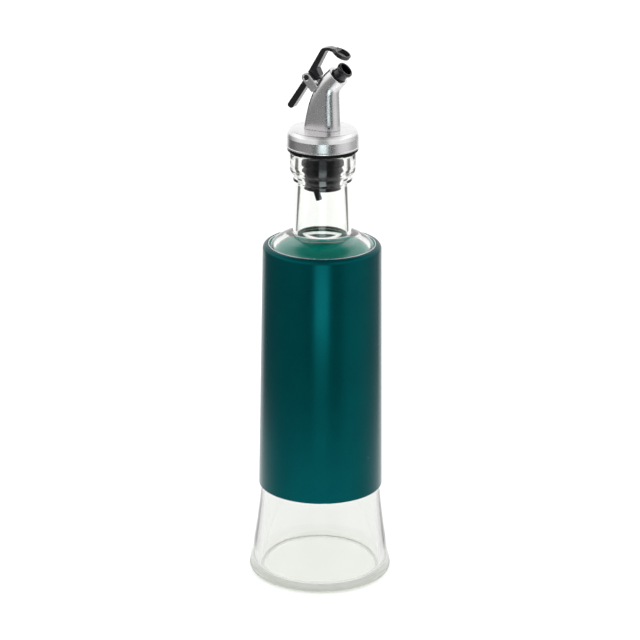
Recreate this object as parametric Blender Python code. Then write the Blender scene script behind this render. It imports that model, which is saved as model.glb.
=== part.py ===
"""Oil cruet: a clear glass bottle in a painted metal sleeve, closed by a pourer stopper.

The stopper has a ribbed rubber plug, a silver collar, a silver spout body, a black spout tip and
a black lever, which turns on a pin between two ears. A thumb tab at one end of the lever lifts
the cap at its other end off the tip.

The scene is in metres with +Z up. The origin is the centre of the base, on the surface that the
bottle stands on. Every size named below is in millimetres, and the mesh helpers turn it into
metres. The pourer is drawn in a plane of its own: x runs towards the spout, z runs up, and the
whole plane is turned about +Z by SPOUT_TURN.
"""

import math

import bmesh
import bpy
from mathutils import Matrix, Vector

MM = 0.001

# Clearances
TOUCH_GAP = 0.3
PIN_CLEARANCE = 0.15
LEVER_SIDE_CLEARANCE = 0.2

# Facets
BOTTLE_SEGMENTS = 40
COLLAR_SEGMENTS = 40
PLUG_SEGMENTS = 28
TIP_SEGMENTS = 24
SMALL_SEGMENTS = 16
ARC_STEPS = 2
SHARP_ANGLE = math.radians(35)

# Glass bottle
HEEL_RADIUS = 35.0
HEEL_HEIGHT = 3.2
BEARING_RADIUS = 31.8
BEARING_WIDTH = 3.0
BEARING_ROUND = 1.0
PUNT_HEIGHT = 1.2
PUNT_SLOPE = 1.5
PUNT_ROUND = 2.0
WALL_RADIUS_LOW = 29.3
WALL_RADIUS_HIGH = 27.7
FLARE_TOP = 46.0
FLARE_POWER = 1.3
FLARE_STEPS = 5
SHOULDER_START = 162.0
SHOULDER_HEIGHT = 12.9
SHOULDER_CENTRE = 12.0
SHOULDER_STEPS = 5
SHOULDER_SWEEP = math.radians(78)
NECK_FOOT_RADIUS = 16.0
NECK_FOOT = 174.0
NECK_RADIUS_LOW = 14.0
NECK_RADIUS_HIGH = 13.75
NECK_FILLET = 1.5
NECK_TOP = 200.6
STEP_RADIUS = 14.4
STEP_RISE = 1.0
STEP_TOP = 204.6
FINISH_RADIUS = 15.8
FINISH_BOTTOM = 206.0
FINISH_SLOPE = 0.6
FINISH_CORNER = 0.4
GLASS_TOP = 215.8
GLASS_TOP_ROUND = 1.2
FLOOR_HEIGHT = 5.2
FLOOR_CORNER = 4.0
WALL_THICKNESS = 3.0
HEEL_THICKNESS = 5.4
BORE_RADIUS_LOW = 12.7
BORE_RADIUS_HIGH = 11.0
BORE_MOUTH_RADIUS = 12.4
BORE_MOUTH_ROUND = 0.6
BORE_MOUTH_DEPTH = 8.0
BORE_MOUTH_TAPER = 0.2
BORE_MOUTH_BLEND = 3.0
INNER_SHOULDER_TOP = 172.4
INNER_SHOULDER_BLEND = 2.0
INNER_SHOULDER_INSET = 0.5
INNER_SHOULDER_SWEEP = math.radians(80)

# Sleeve
SLEEVE_BOTTOM = 46.3
SLEEVE_TOP = 169.5
SLEEVE_RADIUS_BOTTOM = 30.4
SLEEVE_RADIUS_TOP = 28.65
SLEEVE_THICKNESS = 0.6
SLEEVE_RIM_ROUND = 2.3
SLEEVE_LIP_ROUND = 0.5
SLEEVE_LIP_RADIUS = 26.0
SLEEVE_LIP_DROP = 0.9

# Rubber plug in the neck
FLANGE_RADIUS = 17.0
FLANGE_BOTTOM = GLASS_TOP + TOUCH_GAP
FLANGE_TOP = 217.5
PLUG_CORE_RADIUS = 8.2
PLUG_BOTTOM = 197.6
PLUG_SHOULDER = 0.6
PLUG_SHOULDER_WIDTH = 2.0
RIB_THICKNESS = 1.3
RIB_SLOPE = 0.4
RIB_ROUND = 0.3
RIBS = ((209.7, 10.4), (205.6, 10.1), (201.6, 9.4), (198.3, 8.8))
OIL_PORT_RADIUS = 2.6
OIL_PORT_DEPTH = 6.0
OIL_PORT_OFFSET = 3.6

# Vent tube under the plug, which leans from the plug's left towards its middle
VENT_RADIUS = 1.5
VENT_BORE = 0.9
VENT_LENGTH = 9.0
VENT_SOCKET_DEPTH = 3.0
VENT_OFFSET = 3.3
VENT_LEAN = math.radians(17)

# Silver collar
COLLAR_BOTTOM = FLANGE_TOP + TOUCH_GAP
COLLAR_RADIUS = 17.3
COLLAR_LIP = 0.25
COLLAR_LIP_HEIGHT = 0.6
COLLAR_LIP_ROUND = 0.2
COLLAR_SIDE_TOP = 223.0
COLLAR_BEVEL = (16.8, 225.0, 3.0)
COLLAR_TOP = 226.5
COLLAR_TOP_RADIUS = 15.8
COLLAR_TOP_ROUND = 0.5

# Silver spout body, seen from its side: the front runs up and forward, the back leans over it
SPOUT_TURN = math.radians(-27)
BODY_BOTTOM = COLLAR_TOP + TOUCH_GAP
BODY_HALF_WIDTH = 5.5
BODY_FRONT_FOOT = 8.7
BODY_BACK_FOOT = -8.8
BODY_CORNER = (7.9, 244.9)
BODY_CORNER_ROUND = 0.9
BODY_RINGS = 15
BODY_RING_POINTS = 32
BACK_ROUND_FOOT = 3.6
BACK_SQUARENESS = 0.75
BACK_PULL_FOOT = (-7.9, 235.5)
BACK_PULL_MOUTH = (-5.3, 247.6)
MOUTH_CENTRE = (7.95, 253.1)
MOUTH_TILT = math.radians(44)
MOUTH_RADIUS = 5.25
AIR_HOLE_RADIUS = 0.7
AIR_HOLE_DEPTH = 2.2
AIR_HOLE_HEIGHT = 1.6
AIR_HOLE_DIRECTION = math.radians(-63)

# Black spout tip
TIP_LIP_CENTRE = (11.95, 256.75)
TIP_TILT = math.radians(46)
TIP_RADIUS = 3.6
TIP_NECK_RADIUS = 3.35
TIP_LIP_RADIUS = 4.05
TIP_LIP_THICKNESS = 1.5
TIP_LIP_ROUND = 0.5
TIP_EDGE = 0.3
TIP_NECK_BLEND = 0.6
TIP_SHOULDER = 1.2
TIP_BORE = 3.0
TIP_BORE_DEPTH = 6.5
TIP_LENGTH = 8.6

# Ears, which hold the lever's pin
PIN = (-6.5, 251.5)
PIN_RADIUS = 1.0
EAR_RADIUS = 2.3
EAR_LENGTH = 7.0
EAR_DIRECTION = math.radians(-48.5)
EAR_OUTER = 5.45
EAR_THICKNESS = 2.9
EAR_SINK_RADIUS = 1.55
EAR_SINK_DEPTH = 0.4
EAR_ARC_STEPS = 10
POCKET_RADIUS = 6.2
POCKET_SIDE_CLEARANCE = 0.1

# Black lever
LEVER_HALF_WIDTH = EAR_OUTER - EAR_THICKNESS - LEVER_SIDE_CLEARANCE
LEVER_EDGE = 0.35
TAB_END_OUTER = (-18.4, 236.1, 1.3)
TAB_END_INNER = (-15.75, 234.4, 1.3)
TAB_ROOT_INNER = (-7.5, 247.1, 1.5)
LEVER_BEND_OUTER = (-9.6, 249.3, 12.0)
ARM_TOP_OUTER = (0.1, 266.1, 2.8)
ARM_TOP_INNER = (2.0, 264.5, 1.0)
ARM_ROOT_INNER = (-2.6, 255.6, 0.3)
STRAP_CREST_OUTER = (3.3, 266.6, 2.2)
STRAP_CREST_INNER = (3.3, 265.0, 1.2)
STRAP_END_REACH = 3.6
HUB_RADIUS = 2.3
HUB_EDGE = 0.05
PIN_SINK = 0.25
FOOT_TOP = (-2.3, 255.3, 0.3)
FOOT_TIP = (-0.9, 252.5, 0.3)
FOOT_HEEL = (-2.5, 249.9, 0.4)
FOOT_ROOT = (-4.6, 249.0, 0.6)
CLOSING_TURN = math.radians(19)
CAP_CLEARANCE = 0.15
CAP_RADIUS = 4.25
CAP_HEIGHT = 1.45
CAP_ROUND = 0.5
CAP_EDGE = 0.25
CAP_RECESS_RADIUS = 3.2
CAP_RECESS_SLOPE = 0.2
CAP_RECESS_DEPTH = 0.8
CAP_DOME_RADIUS = 2.2
CAP_DOME_HEIGHT = 0.35


def clear_scene():
    for scene_object in list(bpy.data.objects):
        bpy.data.objects.remove(scene_object, do_unlink=True)


def finish_material(name, colour, roughness, metallic=0.0, transmission=0.0):
    """A Principled material in the part's colour."""
    material = bpy.data.materials.new(name)
    material.use_nodes = True
    shader = material.node_tree.nodes["Principled BSDF"]
    shader.inputs["Base Color"].default_value = (*colour, 1.0)
    shader.inputs["Roughness"].default_value = roughness
    shader.inputs["Metallic"].default_value = metallic
    shader.inputs["Transmission Weight"].default_value = transmission
    return material


def add_object(name, mesh_data, material=None):
    """A new object from a closed bmesh, its faces outwards, smooth except at its sharp edges."""
    bmesh.ops.recalc_face_normals(mesh_data, faces=mesh_data.faces)
    if mesh_data.calc_volume(signed=True) < 0:
        bmesh.ops.reverse_faces(mesh_data, faces=mesh_data.faces)
    mesh = bpy.data.meshes.new(name)
    mesh_data.to_mesh(mesh)
    mesh_data.free()
    mesh.shade_smooth()
    mesh.set_sharp_from_angle(angle=SHARP_ANGLE)
    new_object = bpy.data.objects.new(name, mesh)
    bpy.context.scene.collection.objects.link(new_object)
    if material:
        mesh.materials.append(material)
    return new_object


def rounded(corners, closed=False):
    """Points through (x, z, radius) corners, each rounded by an arc of its radius."""
    points = []
    for index, (x, z, radius) in enumerate(corners):
        here = Vector((x, z))
        is_end = not closed and index in (0, len(corners) - 1)
        if is_end or radius == 0:
            points.append(here)
            continue
        to_last = (Vector(corners[index - 1][:2]) - here).normalized()
        to_next = (Vector(corners[(index + 1) % len(corners)][:2]) - here).normalized()
        half = to_last.angle(to_next) / 2
        centre = here + (to_last + to_next).normalized() * (radius / math.sin(half))
        start = here + to_last * (radius / math.tan(half)) - centre
        side = 1 if to_last.cross(to_next) < 0 else -1
        for step in range(ARC_STEPS + 1):
            turn = side * (math.pi - 2 * half) * step / ARC_STEPS
            points.append(centre + Matrix.Rotation(turn, 2) @ start)
    return points


def turned(name, outline, segments, material=None, closed=False):
    """A solid of revolution about +Z. The outline holds (radius, height) points."""
    mesh_data = bmesh.new()
    ring = [mesh_data.verts.new((radius * MM, 0.0, height * MM)) for radius, height in outline]
    pairs = list(zip(ring, ring[1:]))
    if closed:
        pairs.append((ring[-1], ring[0]))
    edges = [mesh_data.edges.new(pair) for pair in pairs]
    bmesh.ops.spin(
        mesh_data, geom=ring + edges, cent=(0, 0, 0), axis=(0, 0, 1),
        angle=2 * math.pi, steps=segments, use_merge=True,
    )
    bmesh.ops.remove_doubles(mesh_data, verts=mesh_data.verts, dist=0.001 * MM)
    return add_object(name, mesh_data, material)


def plate(name, outline, y_near, y_far, edge=0.0, material=None):
    """A flat plate: an outline in the pourer's own plane, carried from y_near to y_far."""
    mesh_data = bmesh.new()
    corners = [mesh_data.verts.new((x * MM, y_near * MM, z * MM)) for x, z in outline]
    face = mesh_data.faces.new(corners)
    carried = bmesh.ops.extrude_face_region(mesh_data, geom=[face])
    moved = [item for item in carried["geom"] if isinstance(item, bmesh.types.BMVert)]
    bmesh.ops.translate(mesh_data, verts=moved, vec=(0, (y_far - y_near) * MM, 0))
    if edge:
        rims = [item for item in mesh_data.edges if abs(item.verts[0].co.y - item.verts[1].co.y) < edge * MM]
        bmesh.ops.bevel(mesh_data, geom=rims, offset=edge * MM, segments=1, affect="EDGES", clamp_overlap=True)
    return add_object(name, mesh_data, material)


def combine(target, tool, operation, solver="MANIFOLD"):
    """Joins, cuts or keeps what two closed meshes share, and removes the tool."""
    modifier = target.modifiers.new(operation, "BOOLEAN")
    modifier.operation = operation
    modifier.solver = solver
    modifier.object = tool
    bpy.context.view_layer.update()
    result = bpy.data.meshes.new_from_object(target.evaluated_get(bpy.context.evaluated_depsgraph_get()))
    target.modifiers.clear()
    target.data = result
    result.set_sharp_from_angle(angle=SHARP_ANGLE)
    bpy.data.objects.remove(tool, do_unlink=True)


def tilted(tilt, place):
    """The matrix that leans +Z by tilt towards the spout and moves the origin to (x, z)."""
    x, z = place
    return Matrix.Translation(Vector((x, 0, z)) * MM) @ Matrix.Rotation(tilt, 4, "Y")


def along(start, tilt, distance):
    """The (x, z) point at a distance from start, along a line that leans by tilt."""
    return (start[0] + distance * math.sin(tilt), start[1] + distance * math.cos(tilt))


def ellipse_arc(centre_x, centre_z, radius_x, radius_z, start, end, steps):
    """Points on an ellipse, its angle measured up from +x."""
    angles = [start + (end - start) * step / steps for step in range(steps + 1)]
    return [
        Vector((centre_x + radius_x * math.cos(angle), centre_z + radius_z * math.sin(angle)))
        for angle in angles
    ]


def flare_radius(height, heel, wall):
    """The radius of the bottle's foot, which sweeps out from the wall down to the heel."""
    share = (FLARE_TOP - height) / (FLARE_TOP - HEEL_HEIGHT)
    return wall + (heel - wall) * share ** FLARE_POWER


def make_bottle(material):
    heights = [HEEL_HEIGHT + (FLARE_TOP - HEEL_HEIGHT) * step / FLARE_STEPS for step in range(1, FLARE_STEPS + 1)]
    outside = rounded((
        (0, PUNT_HEIGHT, 0),
        (BEARING_RADIUS - BEARING_WIDTH - PUNT_SLOPE, PUNT_HEIGHT, PUNT_ROUND),
        (BEARING_RADIUS - BEARING_WIDTH, 0, BEARING_ROUND),
        (BEARING_RADIUS, 0, 0),
    ))
    outside += ellipse_arc(
        BEARING_RADIUS, HEEL_HEIGHT, HEEL_RADIUS - BEARING_RADIUS, HEEL_HEIGHT,
        -math.pi / 2, 0, 4,
    )[1:]
    outside += [Vector((flare_radius(height, HEEL_RADIUS, WALL_RADIUS_LOW), height)) for height in heights]
    outside += ellipse_arc(
        SHOULDER_CENTRE, SHOULDER_START, WALL_RADIUS_HIGH - SHOULDER_CENTRE, SHOULDER_HEIGHT,
        0, SHOULDER_SWEEP, SHOULDER_STEPS,
    )
    finish = rounded((
        (NECK_FOOT_RADIUS, NECK_FOOT, 0),
        (NECK_RADIUS_LOW, NECK_FOOT + STEP_RISE, NECK_FILLET),
        (NECK_RADIUS_HIGH, NECK_TOP, STEP_RISE),
        (STEP_RADIUS, NECK_TOP + STEP_RISE, 0),
        (STEP_RADIUS, STEP_TOP, FINISH_CORNER),
        (FINISH_RADIUS - FINISH_CORNER, FINISH_BOTTOM - FINISH_SLOPE, 0),
        (FINISH_RADIUS, FINISH_BOTTOM + FINISH_SLOPE, 0),
        (FINISH_RADIUS, GLASS_TOP, GLASS_TOP_ROUND),
        (BORE_MOUTH_RADIUS, GLASS_TOP, BORE_MOUTH_ROUND),
        (BORE_RADIUS_HIGH + BORE_MOUTH_TAPER, GLASS_TOP - BORE_MOUTH_DEPTH, BORE_MOUTH_BLEND),
        (BORE_RADIUS_HIGH, NECK_TOP, 0),
        (BORE_RADIUS_LOW, INNER_SHOULDER_TOP + INNER_SHOULDER_BLEND, 0),
    ))
    inner_centre = SHOULDER_CENTRE - INNER_SHOULDER_INSET
    inner_start = SHOULDER_START - INNER_SHOULDER_BLEND
    inside = ellipse_arc(
        inner_centre, inner_start, WALL_RADIUS_HIGH - WALL_THICKNESS - inner_centre,
        INNER_SHOULDER_TOP - inner_start, INNER_SHOULDER_SWEEP, 0, SHOULDER_STEPS,
    )
    inner_wall_low = WALL_RADIUS_LOW - WALL_THICKNESS
    inner_heel = HEEL_RADIUS - HEEL_THICKNESS
    inside += [
        Vector((flare_radius(height, inner_heel, inner_wall_low), height))
        for height in reversed(heights) if height > FLOOR_HEIGHT + FLOOR_CORNER
    ]
    corner_height = FLOOR_HEIGHT + FLOOR_CORNER
    corner_radius = flare_radius(corner_height, inner_heel, inner_wall_low)
    inside += ellipse_arc(
        corner_radius - FLOOR_CORNER, corner_height, FLOOR_CORNER, FLOOR_CORNER,
        0, -math.pi / 2, 4,
    )
    inside.append(Vector((0, FLOOR_HEIGHT)))
    return turned("glass_bottle", outside + finish[1:] + inside, BOTTLE_SEGMENTS, material)


def make_sleeve(material):
    thickness = SLEEVE_THICKNESS
    outline = rounded((
        (SLEEVE_RADIUS_BOTTOM, SLEEVE_BOTTOM, 0),
        (SLEEVE_RADIUS_TOP, SLEEVE_TOP, SLEEVE_RIM_ROUND),
        (SLEEVE_LIP_RADIUS, SLEEVE_TOP, SLEEVE_LIP_ROUND),
        (SLEEVE_LIP_RADIUS, SLEEVE_TOP - SLEEVE_LIP_DROP, 0),
        (SLEEVE_LIP_RADIUS + thickness, SLEEVE_TOP - SLEEVE_LIP_DROP, 0),
        (SLEEVE_LIP_RADIUS + thickness, SLEEVE_TOP - thickness, 0),
        (SLEEVE_RADIUS_TOP - thickness, SLEEVE_TOP - thickness, SLEEVE_RIM_ROUND - thickness),
        (SLEEVE_RADIUS_BOTTOM - thickness, SLEEVE_BOTTOM, 0),
    ), closed=True)
    return turned("sleeve", outline, BOTTLE_SEGMENTS, material, closed=True)


def vent_axis():
    """The vent tube's lower-plug point and its upward direction, in the bottle's frame."""
    return Matrix.Translation(Vector((-VENT_OFFSET, 0, PLUG_BOTTOM)) * MM) @ Matrix.Rotation(-VENT_LEAN, 4, "Y")


def rod(name, radius, bottom, top, segments, bore=0.0, material=None):
    """An upright cylinder, hollow if it has a bore."""
    if bore:
        outline = [(radius, bottom), (radius, top), (bore, top), (bore, bottom)]
        return turned(name, outline, segments, material, closed=True)
    return turned(name, [(0, bottom), (radius, bottom), (radius, top), (0, top)], segments, material)


def make_plug(material):
    corners = [(0, PLUG_BOTTOM, 0)]
    for height, radius in reversed(RIBS):
        low = height - RIB_THICKNESS / 2
        high = height + RIB_THICKNESS / 2
        if low - RIB_SLOPE > PLUG_BOTTOM:
            corners.append((PLUG_CORE_RADIUS, low - RIB_SLOPE, 0))
        corners += [(radius - RIB_ROUND, max(low, PLUG_BOTTOM), 0), (radius, low + RIB_SLOPE, 0)]
        corners += [(radius, high - RIB_ROUND, 0), (radius - RIB_ROUND, high, 0)]
        corners.append((PLUG_CORE_RADIUS, high + RIB_ROUND, 0))
    corners += [
        (PLUG_CORE_RADIUS + PLUG_SHOULDER, FLANGE_BOTTOM - RIB_SLOPE, 0),
        (PLUG_CORE_RADIUS + PLUG_SHOULDER_WIDTH, FLANGE_BOTTOM, 0),
        (FLANGE_RADIUS, FLANGE_BOTTOM, RIB_SLOPE),
        (FLANGE_RADIUS, FLANGE_TOP, RIB_ROUND),
        (0, FLANGE_TOP, 0),
    ]
    plug = turned("plug", rounded(corners), PLUG_SEGMENTS, material)
    socket = rod(
        "vent_socket", VENT_RADIUS + TOUCH_GAP, -VENT_LENGTH, VENT_SOCKET_DEPTH + TOUCH_GAP,
        SMALL_SEGMENTS,
    )
    socket.matrix_world = vent_axis()
    combine(plug, socket, "DIFFERENCE")
    port = rod(
        "oil_port", OIL_PORT_RADIUS, PLUG_BOTTOM - OIL_PORT_DEPTH, PLUG_BOTTOM + OIL_PORT_DEPTH,
        SMALL_SEGMENTS,
    )
    port.location.x = OIL_PORT_OFFSET * MM
    combine(plug, port, "DIFFERENCE")
    return plug


def make_vent_tube(material):
    tube = rod(
        "vent_tube", VENT_RADIUS, VENT_SOCKET_DEPTH - VENT_LENGTH, VENT_SOCKET_DEPTH,
        SMALL_SEGMENTS, VENT_BORE, material,
    )
    tube.matrix_world = vent_axis()
    return tube


def make_collar(material):
    outline = rounded((
        (0, COLLAR_BOTTOM, 0),
        (COLLAR_RADIUS + COLLAR_LIP, COLLAR_BOTTOM, COLLAR_LIP_ROUND),
        (COLLAR_RADIUS + COLLAR_LIP, COLLAR_BOTTOM + COLLAR_LIP_HEIGHT, 0),
        (COLLAR_RADIUS, COLLAR_BOTTOM + COLLAR_LIP_HEIGHT + COLLAR_LIP, 0),
        (COLLAR_RADIUS, COLLAR_SIDE_TOP, 0),
        COLLAR_BEVEL,
        (COLLAR_TOP_RADIUS, COLLAR_TOP, COLLAR_TOP_ROUND),
        (0, COLLAR_TOP, 0),
    ))
    return turned("collar", outline, COLLAR_SEGMENTS, material)


def bezier(start, pull_start, pull_end, end, share):
    """A point on a cubic curve, at a share of the way along it."""
    rest = 1 - share
    weights = (rest ** 3, 3 * rest * rest * share, 3 * rest * share * share, share ** 3)
    points = (start, pull_start, pull_end, end)
    return Vector(tuple(sum(weight * point[axis] for weight, point in zip(weights, points)) for axis in (0, 1)))


def point_along(points, share):
    """The point at a share of the length of a chain of points."""
    lengths = [(b - a).length for a, b in zip(points, points[1:])]
    left = share * sum(lengths)
    for start, end, length in zip(points, points[1:], lengths):
        if left <= length:
            return start.lerp(end, left / length)
        left -= length
    return points[-1]


def body_section(front, back, half_width, share):
    """One ring of the spout body: round in front, flat at its sides, softly squared behind."""
    span = (front - back).length
    forward = (front - back) / span
    front_round = min(half_width, span / 2)
    back_round = min(BACK_ROUND_FOOT + (half_width - BACK_ROUND_FOOT) * share, span / 2)
    power = 1 - (1 - BACK_SQUARENESS) * (1 - share ** 2)
    ring = []
    for step in range(BODY_RING_POINTS):
        angle = 2 * math.pi * (step + 0.5) / BODY_RING_POINTS
        reach, side = math.cos(angle), math.sin(angle)
        if reach >= 0:
            at = front - forward * front_round * (1 - reach)
            width = half_width * side
        else:
            at = back + forward * back_round * (1 - abs(reach) ** power)
            width = half_width * math.copysign(abs(side) ** power, side)
        ring.append((at.x * MM, width * MM, at.y * MM))
    return ring


def make_spout_body(material):
    mouth_bottom = along(MOUTH_CENTRE, MOUTH_TILT + math.pi / 2, MOUTH_RADIUS)
    mouth_top = along(MOUTH_CENTRE, MOUTH_TILT - math.pi / 2, MOUTH_RADIUS)
    front_line = rounded((
        (BODY_FRONT_FOOT, BODY_BOTTOM, 0),
        (*BODY_CORNER, BODY_CORNER_ROUND),
        (*mouth_bottom, 0),
    ))
    mesh_data = bmesh.new()
    rings = []
    for step in range(BODY_RINGS + 1):
        share = step / BODY_RINGS
        front = point_along(front_line, share)
        back = bezier((BODY_BACK_FOOT, BODY_BOTTOM), BACK_PULL_FOOT, BACK_PULL_MOUTH, mouth_top, share)
        half_width = BODY_HALF_WIDTH + (MOUTH_RADIUS - BODY_HALF_WIDTH) * share
        rings.append([mesh_data.verts.new(point) for point in body_section(front, back, half_width, share)])
    for lower, upper in zip(rings, rings[1:]):
        for index in range(BODY_RING_POINTS):
            after = (index + 1) % BODY_RING_POINTS
            mesh_data.faces.new((lower[index], lower[after], upper[after], upper[index]))
    mesh_data.faces.new(rings[0])
    mesh_data.faces.new(rings[-1])
    body = add_object("spout_body", mesh_data, material)
    for side in (-1, 1):
        combine(body, make_ear(side), "UNION")
    cut_lever_room(body)
    cut_tip_socket(body)
    cut_air_hole(body)
    return body


def make_ear(side):
    """One of the two ears: a bar with a round end, from the pin down into the body."""
    reach = Vector((math.cos(EAR_DIRECTION), math.sin(EAR_DIRECTION))) * EAR_LENGTH
    across = Vector((-math.sin(EAR_DIRECTION), math.cos(EAR_DIRECTION))) * EAR_RADIUS
    pin = Vector(PIN)
    quarter = EAR_DIRECTION + math.pi / 2
    outline = [pin + reach - across, pin + reach + across]
    outline += ellipse_arc(*PIN, EAR_RADIUS, EAR_RADIUS, quarter, quarter + math.pi, EAR_ARC_STEPS)
    near, away = sorted((side * EAR_OUTER, side * (EAR_OUTER - EAR_THICKNESS)))
    return plate("ear", outline, near, away)


def across_pin(name, outline, segments):
    """A turned shape about the lever's pin."""
    turned_shape = turned(name, outline, segments)
    x, z = PIN
    turned_shape.matrix_world = (
        Matrix.Translation(Vector((x, 0, z)) * MM) @ Matrix.Rotation(-math.pi / 2, 4, "X")
    )
    return turned_shape


def cut_lever_room(body):
    """The hole through both ears, sunk outside, and the round pocket between them."""
    hole = PIN_RADIUS + PIN_CLEARANCE
    half = EAR_OUTER - EAR_THICKNESS + POCKET_SIDE_CLEARANCE
    outer = EAR_OUTER + EAR_SINK_RADIUS
    sink = EAR_OUTER - EAR_SINK_DEPTH
    near_side = [
        (0, -outer), (EAR_SINK_RADIUS, -outer), (EAR_SINK_RADIUS, -EAR_OUTER), (hole, -sink),
        (hole, -half), (POCKET_RADIUS, -half),
    ]
    far_side = [(radius, -side) for radius, side in reversed(near_side)]
    combine(body, across_pin("lever_room", near_side + far_side, TIP_SEGMENTS), "DIFFERENCE")


def tip_length_outside():
    """How far the tip's lip stands out of the mouth's plane, along the tip."""
    offset = Vector(TIP_LIP_CENTRE) - Vector(MOUTH_CENTRE)
    mouth_normal = Vector((math.sin(MOUTH_TILT), math.cos(MOUTH_TILT)))
    tip_line = Vector((math.sin(TIP_TILT), math.cos(TIP_TILT)))
    return offset.dot(mouth_normal) / tip_line.dot(mouth_normal)


def cut_tip_socket(body):
    """The socket in the mouth that the tip is pushed into."""
    floor = -(TIP_LENGTH + TOUCH_GAP)
    socket = rod("tip_socket", TIP_RADIUS + TOUCH_GAP, floor, TIP_LIP_THICKNESS, TIP_SEGMENTS)
    socket.matrix_world = tilted(TIP_TILT, TIP_LIP_CENTRE)
    combine(body, socket, "DIFFERENCE")


def cut_air_hole(body):
    """The small air hole at the foot of the column."""
    column_x = BODY_FRONT_FOOT - BODY_HALF_WIDTH
    inward = BODY_HALF_WIDTH - AIR_HOLE_DEPTH
    hole = rod("air_hole", AIR_HOLE_RADIUS, inward, BODY_HALF_WIDTH + AIR_HOLE_DEPTH, SMALL_SEGMENTS)
    hole.matrix_world = (
        Matrix.Translation(Vector((column_x, 0, BODY_BOTTOM + AIR_HOLE_HEIGHT)) * MM)
        @ Matrix.Rotation(AIR_HOLE_DIRECTION, 4, "Z")
        @ Matrix.Rotation(math.pi / 2, 4, "Y")
    )
    combine(body, hole, "DIFFERENCE")


def make_spout_tip(material):
    outline = rounded((
        (0, -TIP_LENGTH, 0),
        (TIP_RADIUS, -TIP_LENGTH, TIP_EDGE),
        (TIP_RADIUS, TIP_SHOULDER - tip_length_outside(), 0),
        (TIP_NECK_RADIUS, -TIP_LIP_THICKNESS - TIP_NECK_BLEND, TIP_NECK_BLEND),
        (TIP_LIP_RADIUS, -TIP_LIP_THICKNESS, TIP_EDGE),
        (TIP_LIP_RADIUS, 0, TIP_LIP_ROUND),
        (TIP_BORE, 0, TIP_EDGE),
        (TIP_BORE, -TIP_BORE_DEPTH, 0),
        (0, -TIP_BORE_DEPTH, 0),
    ))
    tip = turned("spout_tip", outline, TIP_SEGMENTS, material)
    tip.matrix_world = tilted(TIP_TILT, TIP_LIP_CENTRE)
    return tip


def cap_place():
    """The cap's rim plane at rest: where it is closed, turned back about the pin."""
    closed = Vector(along(TIP_LIP_CENTRE, TIP_TILT, CAP_HEIGHT + CAP_CLEARANCE))
    pin = Vector(PIN)
    return pin + Matrix.Rotation(CLOSING_TURN, 2) @ (closed - pin)


def make_lever(material):
    cap_centre = cap_place()
    cap_tilt = TIP_TILT - CLOSING_TURN
    strap_end = Vector(along(cap_centre, cap_tilt - math.pi / 2, STRAP_END_REACH))
    strap_down = Vector(along((0, 0), cap_tilt, CAP_EDGE - CAP_HEIGHT))
    bar = rounded((
        TAB_END_OUTER, LEVER_BEND_OUTER, ARM_TOP_OUTER, STRAP_CREST_OUTER,
        (*strap_end, 0), (*(strap_end + strap_down), 0),
        STRAP_CREST_INNER, ARM_TOP_INNER, ARM_ROOT_INNER, FOOT_TOP, FOOT_TIP, FOOT_HEEL, FOOT_ROOT,
        TAB_ROOT_INNER, TAB_END_INNER,
    ), closed=True)
    lever = plate("lever", bar, -LEVER_HALF_WIDTH, LEVER_HALF_WIDTH, LEVER_EDGE, material)
    hub_half = LEVER_HALF_WIDTH - HUB_EDGE
    pin_end = EAR_OUTER - PIN_SINK
    trunnion = across_pin("trunnion", (
        (0, -pin_end), (PIN_RADIUS, -pin_end), (PIN_RADIUS, -hub_half), (HUB_RADIUS, -hub_half),
        (HUB_RADIUS, hub_half), (PIN_RADIUS, hub_half), (PIN_RADIUS, pin_end), (0, pin_end),
    ), SMALL_SEGMENTS)
    combine(lever, trunnion, "UNION", "EXACT")
    cap = turned("cap", rounded((
        (0, -CAP_HEIGHT - CAP_DOME_HEIGHT, 0),
        (CAP_DOME_RADIUS / 2, -CAP_HEIGHT - CAP_DOME_HEIGHT, 0),
        (CAP_DOME_RADIUS, -CAP_HEIGHT, 0),
        (CAP_RADIUS, -CAP_HEIGHT, CAP_ROUND),
        (CAP_RADIUS, 0, CAP_EDGE),
        (CAP_RECESS_RADIUS, 0, CAP_EDGE),
        (CAP_RECESS_RADIUS - CAP_RECESS_SLOPE, -CAP_RECESS_DEPTH, 0),
        (0, -CAP_RECESS_DEPTH, 0),
    )), TIP_SEGMENTS)
    cap.matrix_world = tilted(cap_tilt, cap_centre)
    combine(lever, cap, "UNION", "EXACT")
    return lever


def main():
    clear_scene()
    glass = finish_material("clear_glass", (0.93, 0.96, 0.94), 0.03, transmission=1.0)
    teal = finish_material("teal_paint", (0.0, 0.07, 0.08), 0.3, metallic=0.5)
    silver = finish_material("silver_finish", (0.55, 0.55, 0.55), 0.28, metallic=1.0)
    rubber = finish_material("black_rubber", (0.012, 0.012, 0.014), 0.5)
    plastic = finish_material("black_plastic", (0.014, 0.012, 0.018), 0.25)

    make_bottle(glass)
    make_sleeve(teal)

    pourer = bpy.data.objects.new("pourer_axis", None)
    pourer.rotation_euler.z = SPOUT_TURN
    bpy.context.scene.collection.objects.link(pourer)
    make_plug(rubber)
    make_vent_tube(rubber)
    make_collar(silver)
    for piece in (make_spout_body(silver), make_spout_tip(plastic)):
        piece.parent = pourer

    pin_x, pin_z = PIN
    hinge = bpy.data.objects.new("lever_pin", None)
    hinge.location = Vector((pin_x, 0, pin_z)) * MM
    hinge.parent = pourer
    bpy.context.scene.collection.objects.link(hinge)
    lever = make_lever(plastic)
    lever.data.transform(Matrix.Translation(-hinge.location))
    lever.parent = hinge


main()
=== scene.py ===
"""The looks of an oil cruet: clear glass in a teal sleeve, with a silver and black pourer stopper.

Every size named below is in millimetres, and the mesh helpers turn it into metres. The pourer is
drawn in a plane of its own: x runs towards the spout, z runs up, and the plane is turned about +Z.
"""

import math

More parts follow.
